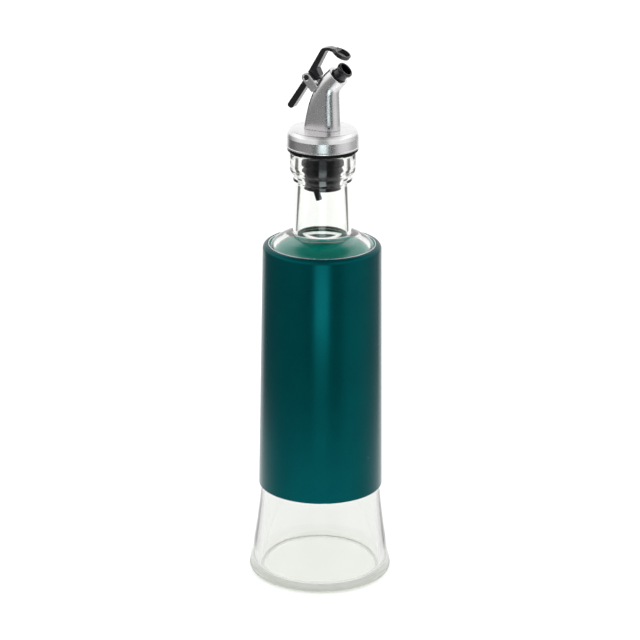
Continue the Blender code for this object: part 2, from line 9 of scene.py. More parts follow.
import bmesh
import bpy
from mathutils import Matrix, Vector


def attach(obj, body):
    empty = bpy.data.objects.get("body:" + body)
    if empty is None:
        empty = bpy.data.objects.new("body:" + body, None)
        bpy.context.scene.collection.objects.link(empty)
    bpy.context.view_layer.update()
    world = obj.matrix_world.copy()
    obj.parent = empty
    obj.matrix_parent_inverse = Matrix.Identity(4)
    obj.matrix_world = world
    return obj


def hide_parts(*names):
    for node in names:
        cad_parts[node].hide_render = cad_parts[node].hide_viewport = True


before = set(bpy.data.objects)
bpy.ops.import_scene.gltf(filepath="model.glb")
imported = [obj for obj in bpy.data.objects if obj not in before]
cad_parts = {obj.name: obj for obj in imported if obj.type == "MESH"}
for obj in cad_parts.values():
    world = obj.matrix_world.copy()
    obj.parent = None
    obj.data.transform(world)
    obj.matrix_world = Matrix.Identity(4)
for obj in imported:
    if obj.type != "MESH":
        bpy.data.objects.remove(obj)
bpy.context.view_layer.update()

MM = 0.001
SHARP_ANGLE = math.radians(32)
WHITE = (1.0, 1.0, 1.0)
# Colour of the dark spots on the spout body's back edge
DARK_SPOT_COLOUR = (0.03, 0.03, 0.035)

# Camera
CAMERA_PITCH = math.radians(19)
CAMERA_ROLL = math.radians(0.4)
CAMERA_DISTANCE = 1312.7
CAMERA_TARGET = (-0.77, 0.0, 130.3)
CAMERA_LENS = 151.9

# Light, as radiance
LEFT_LIGHT = 0.25
RIGHT_LIGHT = 0.95
FRONT_DARK = 0.07
HIGH_LIGHT = 1.35
HIGH_FRONT_LIGHT = 0.5
ZENITH_LIGHT = 0.1
OVERHEAD_LIGHT = 1.9
STRIP_LIGHT = 1.4
STRIP_LOW_BOOST = 3.0
BACK_LIGHT = 1.4
BACK_LIGHT_THROUGH_GLASS = 1.1
EVEN_LIGHT = 1.25
FLOOR_UNDER_LIGHT = (0.78, 0.88)
FLOOR_FAR_LIGHT = (0.0, 0.26)
FLOOR_DIM_LIGHT = 0.1
FLOOR_GLOW_BACK_LIGHT = 1.5
FLOOR_GLOW_FRONT_LIGHT = 2.1

# Where the studio's parts fade, as shares of a direction: right, front or up
LEFT_EDGE = (-0.42, -0.62)
LEFT_FALL = (-0.4, 0.1, 0.45, 1.0)
RIGHT_EDGE = (0.5, 0.85)
RIGHT_FALL = (-0.3, 0.1, 0.6, 1.0)
HIGH_FRONT_EDGE = (0.92, 0.985)
HORIZON = (-0.04, 0.12)
ZENITH = (0.68, 0.9)
OVERHEAD_EDGE = (0.6, 0.84)
OVERHEAD_FOOT = (0.1, 0.35)
BACK_EDGE = (-0.72, -0.86)
BACK_EDGE_THROUGH_GLASS = (0.1, -0.15)
BACK_TOP = (0.8, 0.6)
LEAST_FLAT = 0.05

# Where the floor's parts fade: shares of a direction, and metres from the middle
FLOOR_HALF_WIDTH = 9000.0
FLOOR_DEPTH = -0.05
BESIDE_BACK = (0.82, 0.7)
BESIDE_FRONT = (0.25, 0.4)
BESIDE_FAR = (1.6, 1.2)
BESIDE_NEAR = (0.3, 0.42)
BEFORE_SIDE = (-0.1, -0.4)
BEFORE_NEAR = (0.12, 0.2)
UNDER_REACH = (0.02, 0.06)
FAR_REACH = (0.12, 0.4)
GLOW_HALF_WIDTH = 360.0
GLOW_REACH = (0.09, 0.34)
GLOW_SIDE = (-0.3, -0.85)
GLOW_NEAR = (0.034, 0.05)

# Strip light: its corners, its soft edges, and the heights where it brightens and ends
STRIP_CORNERS = ((60, -300, -140), (-84, -300, -140), (-62, -300, 300), (86, -300, 300))
STRIP_COLOUR = (0.86, 1.0, 1.0)
STRIP_SOFT_X = 0.2
STRIP_SOFT_Z = 0.1
STRIP_RISE = (0.41, 0.5, 0.6)
STRIP_FALL = (0.52, 0.57)
STRIP_MIDDLE = 1.4
STRIP_REST = (0.605, 0.65)
STRIP_TOP = -1.75

# Looks of the materials
CLOUD_RANGE = (0.3, 0.7)
# Dark spots on the spout body's back edge: x, y, z and radius in millimetres, in the pourer's plane
DARK_EDGE_SPOTS = ((-3.8, -4.1, 242.9, 0.85), (-4.5, -4.2, 240.95, 0.75), (-5.1, -4.3, 239.0, 0.65))
HEEL_STIPPLES = 190.0
LINING_LINE = (-0.0142, 0.03076)
LINING_EDGE = (0.00005, -0.00005)
LINING_TOP = (0.1682, 0.168)
HEEL_TINT_RANGE = (0.009, 0.001)
HEEL_ROUGH_RANGE = (0.0014, 0.0009)
STIPPLE_HEIGHT_RANGE = (0.0018, 0.0006)
STIPPLE_RADIUS_RANGE = (0.0295, 0.0305)
GLASS_DENSITY = 9.0

# Facets
GLASS_SEGMENTS = 168
TURNED_SEGMENTS = 128
SMALL_SEGMENTS = 64
ARC_STEPS = 7
BODY_VOXEL = 0.16
LEVER_VOXEL = 0.13

# Glass bottle
HEEL_RADIUS = 35.0
HEEL_HEIGHT = 3.2
BEARING_RADIUS = 31.8
WALL_RADIUS_LOW = 29.3
WALL_RADIUS_HIGH = 27.7
FLARE_TOP = 46.0
FLARE_POWER = 1.3
FLARE_STEPS = 22
SHOULDER_START = 162.0
SHOULDER_HEIGHT = 12.9
SHOULDER_CENTRE = 12.0
SHOULDER_STEPS = 22
SHOULDER_SWEEP = math.radians(78)
HEEL_STEPS = 14
FLOOR_HEIGHT = 3.1
FLOOR_CORNER = 3.0
FLOOR_STEPS = 12
FLOOR_RISE = ((12, 0.15), (0, 0.2))
WALL_THICKNESS = 3.0
HEEL_THICKNESS = 4.7
INNER_SHOULDER_TOP = 172.4
INNER_SHOULDER_SHIFT = 0.5
INNER_SHOULDER_DROP = 2.0
INNER_SHOULDER_SWEEP = math.radians(62)
UNDERSIDE = ((0, 0.8, 0), (28.3, 0.8, 1.0), (29.3, 0, 0.6), (BEARING_RADIUS, 0, 0))
FINISH = (
    (16.0, 174.0, 0), (14.0, 175.0, 1.5), (13.75, 200.6, 1.2), (14.35, 201.7, 0.6),
    (14.4, 204.6, 0.9), (15.5, 205.5, 0.5), (15.8, 206.8, 0.6), (15.8, 215.8, 1.3),
    (12.4, 215.8, 0.8), (12.2, 207.8, 3.0), (10.5, 200.6, 2.0), (12.1, 173.0, 6.0),
)

# Sleeve
SLEEVE = (
    (30.4, 46.3, 0.15), (28.65, 169.5, 2.3), (26.0, 169.5, 0.5), (26.0, 168.6, 0.1),
    (26.6, 168.6, 0), (26.6, 168.9, 0.1), (28.05, 168.9, 1.6), (29.8, 46.3, 0.15),
)
# Thin silver rings at the sleeve's foot and lip, which show as bright lines: radius, height and
# corner radius
FOOT_EDGE = ((29.9, 45.85, 0.12), (30.36, 45.85, 0.12), (30.36, 46.27, 0.05), (29.9, 46.27, 0.05))
LIP_EDGE = ((25.5, 168.75, 0.2), (25.97, 168.75, 0.1), (25.97, 169.6, 0.2), (25.5, 169.6, 0.25))

# Rubber plug and its vent tube
PLUG_CORE_RADIUS = 8.2
PLUG_BOTTOM = 197.6
RIB_THICKNESS = 1.3
RIBS = ((209.7, 10.4), (205.6, 10.1), (201.6, 9.4), (198.3, 8.8))
FLANGE_RADIUS = 17.0
FLANGE_BOTTOM = 216.1
FLANGE_TOP = 217.5
VENT_OFFSET = 3.3
VENT_LEAN = math.radians(17)
VENT_TUBE = ((1.5, -6.0, 0.1), (1.5, 3.0, 0), (0.9, 3.0, 0), (0.9, -6.0, 0.1))

# Silver collar
COLLAR = (
    (0, 217.8, 0), (17.55, 217.8, 0.2), (17.55, 218.4, 0.15), (17.3, 218.65, 0.1),
    (17.3, 223.0, 0.25), (16.8, 225.0, 3.0), (15.8, 226.5, 0.5), (0, 226.5, 0),
)

# Silver spout body
SPOUT_TURN = math.radians(-27)
BODY_BOTTOM = 226.8
BODY_FOOT = 226.52
BODY_HALF_WIDTH = 5.5
BODY_FRONT_FOOT = 8.7
BODY_BACK_FOOT = -8.8
BODY_CORNER = (7.9, 244.9, 5.0)
BODY_RINGS = 64
BODY_RING_POINTS = 96
BACK_ROUND_FOOT = 3.6
BACK_SQUARENESS = 0.75
BACK_PULL_FOOT = (-7.9, 235.5)
BACK_PULL_MOUTH = (-5.3, 247.6)
MOUTH_CENTRE = (7.95, 253.1)
MOUTH_TILT = math.radians(44)
MOUTH_RADIUS = 5.25
AIR_HOLE_RADIUS = 0.7
AIR_HOLE_HEIGHT = 1.6
AIR_HOLE_DIRECTION = math.radians(-63)

# Black spout tip
TIP_LIP_CENTRE = (11.95, 256.75)
TIP_TILT = math.radians(46)
TIP_SOCKET = ((0, -8.9), (3.9, -8.9), (3.9, 1.5), (0, 1.5))
TIP = (
    (0, -8.6, 0), (3.6, -8.6, 0.3), (3.6, -4.2, 0.6), (3.35, -2.1, 0.6), (4.05, -1.5, 0.35),
    (4.05, 0, 0.6), (3.0, 0, 0.4), (2.85, -6.5, 0.6), (0, -6.5, 0),
)

# Ears and the lever's pin
PIN = (-6.5, 251.5)
PIN_RADIUS = 1.0
PIN_CLEARANCE = 0.15
EAR_RADIUS = 2.3
EAR_LENGTH = 7.0
EAR_DIRECTION = math.radians(-48.5)
EAR_OUTER = 5.45
EAR_THICKNESS = 2.9
EAR_SINK_RADIUS = 1.55
EAR_SINK_DEPTH = 0.4
POCKET_RADIUS = 6.2

# Black lever
LEVER_HALF_WIDTH = 2.35
LEVER_EDGE = 0.35
BAR = (
    (-18.4, 236.1, 1.3), (-9.6, 249.3, 12.0), (0.1, 266.0, 2.8), (3.3, 266.5, 2.2),
)
BAR_UNDERSIDE = (
    (3.3, 265.0, 1.2), (2.0, 264.5, 1.0), (-2.6, 255.6, 0.4), (-2.3, 255.3, 0.3),
    (-0.9, 252.5, 0.4), (-2.5, 249.9, 0.5), (-4.6, 249.0, 0.8), (-7.5, 247.1, 1.5),
    (-15.75, 234.4, 1.3),
)
STRAP_END_REACH = 3.6
HUB_RADIUS = 2.3
CLOSING_TURN = math.radians(19)
CAP_CLEARANCE = 0.15
CAP_HEIGHT = 1.45
CAP_RIM = 0.6
CAP = (
    (0, -1.8, 0), (1.1, -1.8, 0.5), (2.2, -1.45, 0.3), (4.0, -1.45, 0.5), (4.25, CAP_RIM, 0.25),
    (3.35, CAP_RIM, 0.15), (3.15, -0.6, 0.35), (0, -0.6, 0),
)
WEB_START = (-4.5, 2.35)
WEB_PULLS = ((-3.9, 2.4), (-3.0, 3.3))
WEB_END = (-1.8, 3.85)


# Camera, floor and light

def add_camera():
    look = Vector((0, math.cos(CAMERA_PITCH), -math.sin(CAMERA_PITCH)))
    right = Vector((1, 0, 0))
    up = right.cross(look)
    tilted_right = math.cos(CAMERA_ROLL) * right + math.sin(CAMERA_ROLL) * up
    tilted_up = math.cos(CAMERA_ROLL) * up - math.sin(CAMERA_ROLL) * right
    camera = bpy.data.objects.new("camera", bpy.data.cameras.new("camera"))
    bpy.context.scene.collection.objects.link(camera)
    turn = Matrix((tilted_right, tilted_up, -look)).transposed().to_4x4()
    place = (Vector(CAMERA_TARGET) - look * CAMERA_DISTANCE) * MM
    camera.matrix_world = Matrix.Translation(place) @ turn
    camera.data.lens = CAMERA_LENS
    camera.data.sensor_width = 36
    camera.data.clip_start = 0.01
    bpy.context.scene.camera = camera


def node(tree, kind, *inputs, **settings):
    """A shader node. Inputs are given in order: a number, a colour, a socket, or None to skip."""
    made = tree.nodes.new(kind)
    for name, value in settings.items():
        setattr(made, name, value)
    for index, value in enumerate(inputs):
        if value is None:
            continue
        if isinstance(value, bpy.types.NodeSocket):
            tree.links.new(value, made.inputs[index])
        else:
            made.inputs[index].default_value = value
    return made


def maths(tree, operation, *inputs):
    return node(tree, "ShaderNodeMath", *inputs, operation=operation).outputs[0]


def fade(tree, value, start, end, low=0.0, high=1.0):
    """A smooth step: low where value is start, high where it is end."""
    return node(
        tree, "ShaderNodeMapRange", value, start, end, low, high,
        interpolation_type="SMOOTHSTEP",
    ).outputs[0]


def blend_value(tree, share, value_a, value_b):
    return node(tree, "ShaderNodeMix", share, None, value_a, value_b).outputs[0]


def blend_colour(tree, share, colour_a, colour_b, mode="MIX"):
    mixed = node(tree, "ShaderNodeMix", data_type="RGBA", blend_type=mode)
    for index, value in ((0, share), (6, colour_a), (7, colour_b)):
        if isinstance(value, bpy.types.NodeSocket):
            tree.links.new(value, mixed.inputs[index])
        elif index:
            mixed.inputs[index].default_value = (*value, 1.0)
        else:
            mixed.inputs[index].default_value = value
    return mixed.outputs[2]


def object_axes(tree):
    """The x, y and z sockets of the piece's own space, in metres."""
    place = node(tree, "ShaderNodeTexCoord").outputs["Object"]
    return node(tree, "ShaderNodeSeparateXYZ", place).outputs


def distance(tree, axes):
    """Distance from the upright axis through the origin."""
    across = maths(tree, "MULTIPLY", axes[0], axes[0])
    along_y = maths(tree, "MULTIPLY", axes[1], axes[1])
    return maths(tree, "SQRT", maths(tree, "ADD", across, along_y))


def add_world():
    """A pale studio. The camera and matt surfaces see it even; gloss and glass see its parts."""
    world = bpy.data.worlds.new("studio")
    bpy.context.scene.world = world
    world.use_nodes = True
    tree = world.node_tree
    tree.nodes.clear()
    place = node(tree, "ShaderNodeTexCoord").outputs["Generated"]
    axes = node(tree, "ShaderNodeSeparateXYZ", place).outputs
    squared = maths(tree, "MULTIPLY", axes[2], axes[2])
    flat = maths(tree, "SQRT", maths(tree, "SUBTRACT", 1.0, squared))
    flat = maths(tree, "MAXIMUM", flat, LEAST_FLAT)
    front = maths(tree, "DIVIDE", maths(tree, "MULTIPLY", axes[1], -1.0), flat)
    right = maths(tree, "DIVIDE", axes[0], flat)
    left_edge = fade(tree, right, *LEFT_EDGE)
    left_side = maths(tree, "MULTIPLY", left_edge, fade(tree, front, *LEFT_FALL))
    right_edge = fade(tree, right, *RIGHT_EDGE)
    right_side = maths(tree, "MULTIPLY", right_edge, fade(tree, front, *RIGHT_FALL))
    left_level = maths(tree, "MULTIPLY", left_side, LEFT_LIGHT)
    right_level = maths(tree, "MULTIPLY", right_side, RIGHT_LIGHT)
    low = maths(tree, "ADD", maths(tree, "MAXIMUM", left_level, right_level), FRONT_DARK)
    high = fade(tree, front, *HIGH_FRONT_EDGE, HIGH_LIGHT, HIGH_FRONT_LIGHT)
    level = blend_value(tree, fade(tree, axes[2], *HORIZON), low, high)
    level = blend_value(tree, fade(tree, axes[2], *ZENITH), level, ZENITH_LIGHT)
    outward = maths(tree, "ABSOLUTE", axes[0])
    overhead = fade(tree, outward, *OVERHEAD_EDGE, 0.0, OVERHEAD_LIGHT)
    overhead = maths(tree, "MULTIPLY", overhead, fade(tree, axes[2], *OVERHEAD_FOOT))
    level = maths(tree, "MAXIMUM", level, overhead)
    rays = node(tree, "ShaderNodeLightPath").outputs
    through = rays["Is Transmission Ray"]
    unmirrored = maths(tree, "LESS_THAN", rays["Glossy Depth"], 0.5)
    glass_back = maths(tree, "MAXIMUM", unmirrored, fade(tree, front, *BACK_EDGE_THROUGH_GLASS))
    back = blend_value(tree, through, fade(tree, front, *BACK_EDGE), glass_back)
    back = maths(tree, "MULTIPLY", back, fade(tree, axes[2], *BACK_TOP))
    back_level = blend_value(tree, through, BACK_LIGHT, BACK_LIGHT_THROUGH_GLASS)
    level = blend_value(tree, back, level, back_level)
    even = maths(tree, "MAXIMUM", rays["Is Camera Ray"], rays["Is Diffuse Ray"])
    strength = blend_value(tree, even, level, EVEN_LIGHT)
    light = node(tree, "ShaderNodeBackground", (*WHITE, 1.0), strength)
    output = node(tree, "ShaderNodeOutputWorld")
    tree.links.new(light.outputs[0], output.inputs[0])


def add_quad(name, corners, material):
    mesh = bpy.data.meshes.new(name)
    mesh.from_pydata([Vector(corner) * MM for corner in corners], [], [(0, 1, 2, 3)])
    quad = bpy.data.objects.new(name, mesh)
    bpy.context.scene.collection.objects.link(quad)
    mesh.materials.append(material)
    return quad


def level_square(half, z):
    return ((-half, -half, z), (half, -half, z), (half, half, z), (-half, half, z))


def add_floor():
    """A pale floor. Seen through glass it glows, dim beside the object and before it in mirrors."""
    material, tree, shader = principled("floor_card", (0.9, 0.9, 0.9), 0.9)
    grain = fade(tree, noise(tree, 300.0, 3.0), *CLOUD_RANGE)
    shade = blend_colour(tree, grain, (0.935, 0.935, 0.93), (0.95, 0.95, 0.948))
    tree.links.new(shade, shader.inputs["Base Color"])
    shader.inputs["Specular IOR Level"].default_value = 0.0
    axes = object_axes(tree)
    reach = distance(tree, axes)
    behind = maths(tree, "DIVIDE", axes[1], reach)
    beside = fade(tree, behind, *BESIDE_BACK)
    beside = maths(tree, "MULTIPLY", beside, fade(tree, behind, *BESIDE_FRONT))
    beside = maths(tree, "MULTIPLY", beside, fade(tree, reach, *BESIDE_FAR))
    beside = maths(tree, "MULTIPLY", beside, fade(tree, reach, *BESIDE_NEAR))
    rays = node(tree, "ShaderNodeLightPath").outputs
    mirrored = maths(tree, "GREATER_THAN", rays["Glossy Depth"], 0.5)
    before = fade(tree, behind, *BEFORE_SIDE)
    before = maths(tree, "MULTIPLY", before, fade(tree, reach, *BEFORE_NEAR))
    dim = maths(tree, "MAXIMUM", beside, maths(tree, "MULTIPLY", mirrored, before))
    # Painted shadow: seen through glass the floor glows dimmer under the object and brighter
    # further out
    under = fade(tree, reach, *UNDER_REACH, *FLOOR_UNDER_LIGHT)
    level = maths(tree, "ADD", under, fade(tree, reach, *FAR_REACH, *FLOOR_FAR_LIGHT))
    level = blend_value(tree, dim, level, FLOOR_DIM_LIGHT)
    glow = node(tree, "ShaderNodeEmission", (0.995, 1.0, 0.99, 1.0), level)
    through = rays["Is Transmission Ray"]
    shown = node(tree, "ShaderNodeMixShader", through, shader.outputs[0], glow.outputs[0])
    tree.links.new(shown.outputs[0], tree.nodes["Material Output"].inputs[0])
    material.cycles.emission_sampling = "NONE"
    floor = add_quad("floor", level_square(FLOOR_HALF_WIDTH, FLOOR_DEPTH), material)
    floor.visible_glossy = False


def add_card(name, corners, colour, strength, soft_x=0.0, soft_z=0.0, low_boost=0.0):
    """A soft light panel that shows in reflections only. It fades towards its edges."""
    material = bpy.data.materials.new(name)
    material.use_nodes = True
    tree = material.node_tree
    tree.nodes.clear()
    place = node(tree, "ShaderNodeTexCoord").outputs["Generated"]
    axes = node(tree, "ShaderNodeSeparateXYZ", place).outputs
    level = strength
    for axis, soft in ((axes[0], soft_x), (axes[2], soft_z)):
        if soft:
            rise = fade(tree, axis, 0.0, soft)
            fall = fade(tree, axis, 1.0, 1.0 - soft)
            level = maths(tree, "MULTIPLY", level, maths(tree, "MULTIPLY", rise, fall))
    if low_boost:
        rise = fade(tree, axes[2], *STRIP_RISE, 1.0 + low_boost)
        fall = fade(tree, axes[2], *STRIP_FALL, 0.0, STRIP_MIDDLE - low_boost)
        rest = fade(tree, axes[2], *STRIP_REST, 0.0, STRIP_TOP)
        boost = maths(tree, "ADD", rise, maths(tree, "ADD", fall, rest))
        level = maths(tree, "MULTIPLY", level, boost)
    glow = node(tree, "ShaderNodeEmission", (*colour, 1.0), level)
    clear = node(tree, "ShaderNodeBsdfTransparent")
    front = node(tree, "ShaderNodeNewGeometry").outputs["Backfacing"]
    shown = node(tree, "ShaderNodeMixShader", front, glow.outputs[0], clear.outputs[0])
    output = node(tree, "ShaderNodeOutputMaterial")
    tree.links.new(shown.outputs[0], output.inputs[0])
    material.cycles.emission_sampling = "NONE"
    hide_card(add_quad(name, corners, material))


def hide_card(card):
    """Leaves a card to reflections only."""
    card.visible_camera = False
    card.visible_diffuse = False
    card.visible_transmission = False
    card.visible_shadow = False


def add_cards():
    add_card(
        "strip_card", STRIP_CORNERS, STRIP_COLOUR, STRIP_LIGHT,
        soft_x=STRIP_SOFT_X, soft_z=STRIP_SOFT_Z, low_boost=STRIP_LOW_BOOST,
    )
    add_floor_glow()


def add_floor_glow():
    """The part of the floor that gloss sees: bright around the object and gone further away."""
    material = bpy.data.materials.new("floor_glow")
    material.use_nodes = True
    tree = material.node_tree
    tree.nodes.clear()
    axes = object_axes(tree)
    reach = distance(tree, axes)
    near = fade(tree, reach, *GLOW_REACH)
    behind = maths(tree, "DIVIDE", axes[1], reach)
    level = fade(tree, behind, *GLOW_SIDE, FLOOR_GLOW_BACK_LIGHT, FLOOR_GLOW_FRONT_LIGHT)
    # Painted shadow: the glow dims close around the bottle's foot, darkening the heel's reflection
    level = maths(tree, "MULTIPLY", level, fade(tree, reach, *GLOW_NEAR, 0.3, 1.0))
    glow = node(tree, "ShaderNodeEmission", (*WHITE, 1.0), level)
    clear = node(tree, "ShaderNodeBsdfTransparent")
    shown = node(tree, "ShaderNodeMixShader", near, glow.outputs[0], clear.outputs[0])
    output = node(tree, "ShaderNodeOutputMaterial")
    tree.links.new(shown.outputs[0], output.inputs[0])
    material.cycles.emission_sampling = "NONE"
    hide_card(add_quad("floor_glow", level_square(GLOW_HALF_WIDTH, 0), material))


# Materials

def principled(name, colour, roughness, metallic=0.0):
    material = bpy.data.materials.new(name)
    material.use_nodes = True
    tree = material.node_tree
    shader = tree.nodes["Principled BSDF"]
    shader.inputs["Base Color"].default_value = (*colour, 1.0)
    shader.inputs["Roughness"].default_value = roughness
    shader.inputs["Metallic"].default_value = metallic
    return material, tree, shader


def noise(tree, scale, detail=2.0, stretch=None):
    """Noise over the piece's own space, with scale in cells to the metre."""
    place = node(tree, "ShaderNodeTexCoord").outputs["Object"]
    if stretch:
        place = node(tree, "ShaderNodeMapping", place, None, None, stretch).outputs[0]
    return node(tree, "ShaderNodeTexNoise", place, None, scale, detail).outputs[0]


def dust(tree, scale, size):
    """Sparse specks: 1 on a speck and 0 elsewhere."""
    place = node(tree, "ShaderNodeTexCoord").outputs["Object"]
    cells = node(tree, "ShaderNodeTexVoronoi", place, None, scale)
    spot = fade(tree, cells.outputs["Distance"], size, size * 0.6)
    chosen = node(tree, "ShaderNodeSeparateColor", cells.outputs["Color"]).outputs[0]
    return maths(tree, "MULTIPLY", spot, maths(tree, "GREATER_THAN", chosen, 0.93))


def add_bump(tree, shader, height, depth):
    """Relief of a depth in millimetres where height goes from 0 to 1."""
    bump = node(tree, "ShaderNodeBump", 1.0, depth * MM)
    tree.links.new(height, bump.inputs["Height"])
    tree.links.new(bump.outputs[0], shader.inputs["Normal"])


def teal_paint():
    """Pearlescent teal over metal: fine flakes, a satin sheen, and a few specks of dust."""
    material, tree, shader = principled("teal_paint_look", (0.0, 0.05, 0.055), 0.24, 0.5)
    shader.inputs["Specular IOR Level"].default_value = 0.02
    flakes = noise(tree, 5200.0, 2.0)
    clouds = noise(tree, 55.0, 3.0)
    cloudy = fade(tree, clouds, *CLOUD_RANGE)
    deep = blend_colour(tree, cloudy, (0.0, 0.043, 0.051), (0.0, 0.052, 0.056))
    pearl = blend_colour(tree, fade(tree, flakes, 0.35, 0.75), deep, (0.0, 0.065, 0.069))
    specks = dust(tree, 130.0, 0.035)
    outer = blend_colour(tree, maths(tree, "MULTIPLY", specks, 0.6), pearl, (0.45, 0.6, 0.6))
    axes = object_axes(tree)
    wall_middle = maths(tree, "MULTIPLY_ADD", axes[2], *LINING_LINE)
    gap = maths(tree, "SUBTRACT", distance(tree, axes), wall_middle)
    inside = fade(tree, gap, *LINING_EDGE)
    inside = maths(tree, "MULTIPLY", inside, fade(tree, axes[2], *LINING_TOP))
    colour = blend_colour(tree, inside, outer, (0.0, 0.62, 0.5))
    tree.links.new(colour, shader.inputs["Base Color"])
    tree.links.new(fade(tree, inside, 0.0, 1.0, 0.5, 0.0), shader.inputs["Metallic"])
    rough = fade(tree, noise(tree, 900.0, 3.0), *CLOUD_RANGE, 0.21, 0.26)
    tree.links.new(rough, shader.inputs["Roughness"])
    add_bump(tree, shader, flakes, 0.0005)
    return material


def silver_finish():
    """Satin silver plating: a fine blasted grain, cloudy roughness and dark spots at one edge."""
    material, tree, shader = principled("silver_finish_look", (0.6, 0.59, 0.6), 0.26, 1.0)
    clouds = fade(tree, noise(tree, 160.0, 4.0), *CLOUD_RANGE)
    grain = noise(tree, 5200.0, 3.0)
    plating = blend_colour(tree, clouds, (0.575, 0.565, 0.575), (0.625, 0.615, 0.62))
    # Near-black spots along the body's back edge
    dark_spots = dark_edge_spots(tree)
    colour = blend_colour(tree, dark_spots, plating, DARK_SPOT_COLOUR)
    tree.links.new(colour, shader.inputs["Base Color"])
    rough = fade(tree, noise(tree, 700.0, 3.0), *CLOUD_RANGE, 0.26, 0.28)
    tree.links.new(rough, shader.inputs["Roughness"])
    add_bump(tree, shader, grain, 0.0003)
    return material


def dark_edge_spots(tree):
    """Small dark spots along the back edge of the spout body."""
    place = node(tree, "ShaderNodeTexCoord").outputs["Object"]
    ragged = noise(tree, 1500.0, 3.0)
    near = None
    for x, y, z, radius in DARK_EDGE_SPOTS:
        at = Matrix.Rotation(SPOUT_TURN, 3, "Z") @ Vector((x, y, z)) * MM
        gap = node(tree, "ShaderNodeVectorMath", place, tuple(at), operation="DISTANCE")
        ratio = maths(tree, "DIVIDE", gap.outputs["Value"], radius * MM)
        near = ratio if near is None else maths(tree, "MINIMUM", near, ratio)
    return fade(tree, maths(tree, "ADD", near, maths(tree, "MULTIPLY", ragged, 0.8)), 1.4, 1.1)


def black_plastic():
    """Smooth black moulded plastic with a faint violet sheen."""
    material, tree, shader = principled("black_plastic_look", (0.005, 0.004, 0.007), 0.27)
    clouds = fade(tree, noise(tree, 420.0, 3.0), *CLOUD_RANGE)
    colour = blend_colour(tree, clouds, (0.003, 0.0024, 0.0045), (0.0065, 0.0053, 0.009))
    tree.links.new(colour, shader.inputs["Base Color"])
    rough = fade(tree, noise(tree, 900.0, 2.0), *CLOUD_RANGE, 0.22, 0.32)
    tree.links.new(rough, shader.inputs["Roughness"])
    shader.inputs["Specular IOR Level"].default_value = 0.15
    shader.inputs["Coat Weight"].default_value = 0.6
    shader.inputs["Coat Roughness"].default_value = 0.1
    add_bump(tree, shader, noise(tree, 2600.0, 2.0), 0.003)
    return material


def black_rubber():
    """Soft black rubber with a fine skin."""
    material, tree, shader = principled("black_rubber_look", (0.006, 0.006, 0.007), 0.4)
    shader.inputs["Specular IOR Level"].default_value = 0.07
    clouds = fade(tree, noise(tree, 600.0, 3.0), *CLOUD_RANGE)
    colour = blend_colour(tree, clouds, (0.002, 0.002, 0.003), (0.005, 0.005, 0.006))
    tree.links.new(colour, shader.inputs["Base Color"])
    rough = fade(tree, noise(tree, 1500.0, 2.0), *CLOUD_RANGE, 0.34, 0.5)
    tree.links.new(rough, shader.inputs["Roughness"])
    add_bump(tree, shader, noise(tree, 3500.0, 2.0), 0.004)
    return material


def clear_glass():
    """Clear soda glass: slightly green where it is thick, softly wavy, stippled under its heel."""
    material, tree, shader = principled("clear_glass_look", WHITE, 0.0)
    shader.inputs["Transmission Weight"].default_value = 1.0
    shader.inputs["IOR"].default_value = 1.5
    tint = fade(tree, noise(tree, 60.0, 3.0), 0.35, 0.75)
    pale = blend_colour(tree, tint, (0.992, 0.996, 0.985), WHITE)
    axes = object_axes(tree)
    heel = fade(tree, axes[2], *HEEL_TINT_RANGE)
    colour = blend_colour(tree, heel, pale, (0.97, 0.985, 0.93))
    tree.links.new(colour, shader.inputs["Base Color"])
    angle = maths(tree, "ARCTAN2", axes[1], axes[0])
    ribs = maths(tree, "SINE", maths(tree, "MULTIPLY", angle, HEEL_STIPPLES))
    low = fade(tree, axes[2], *STIPPLE_HEIGHT_RANGE)
    cloudy = fade(tree, noise(tree, 1500.0, 2.0), 0.35, 0.65, 0.34, 0.5)
    rough = maths(tree, "MULTIPLY", fade(tree, axes[2], *HEEL_ROUGH_RANGE), cloudy)
    tree.links.new(rough, shader.inputs["Roughness"])
    outer = fade(tree, distance(tree, axes), *STIPPLE_RADIUS_RANGE)
    stipple = maths(tree, "MULTIPLY", maths(tree, "MULTIPLY", ribs, low), outer)
    wavy = noise(tree, 38.0, 1.0, (1.0, 1.0, 0.35))
    height = maths(tree, "ADD", maths(tree, "MULTIPLY", stipple, 0.8), wavy)
    add_bump(tree, shader, height, 0.06)
    depth = node(tree, "ShaderNodeVolumeAbsorption", (0.8, 0.9, 0.7, 1.0), GLASS_DENSITY)
    output = tree.nodes["Material Output"]
    tree.links.new(depth.outputs[0], output.inputs["Volume"])
    return material


# Mesh helpers

def add_piece(name, mesh_data, material, body, cad_node, transform=None):
    """A finished piece from a closed bmesh: it rides on a body and stands for a solid."""
    bmesh.ops.recalc_face_normals(mesh_data, faces=mesh_data.faces)
    if mesh_data.calc_volume(signed=True) < 0:
        bmesh.ops.reverse_faces(mesh_data, faces=mesh_data.faces)
    piece = mesh_object(name, mesh_data)
    if transform:
        piece.data.transform(transform)
    dress(piece, material, body, cad_node)
    return piece


def mesh_object(name, mesh_data):
    mesh = bpy.data.meshes.new(name)
    mesh_data.to_mesh(mesh)
    mesh_data.free()
    made = bpy.data.objects.new(name, mesh)
    bpy.context.scene.collection.objects.link(made)
    return made


def dress(piece, material, body, cad_node):
    piece.data.shade_smooth()
    piece.data.set_sharp_from_angle(angle=SHARP_ANGLE)
    piece.data.materials.clear()
    piece.data.materials.append(material)
    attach(piece, body)
    if cad_node:
        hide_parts(cad_node)


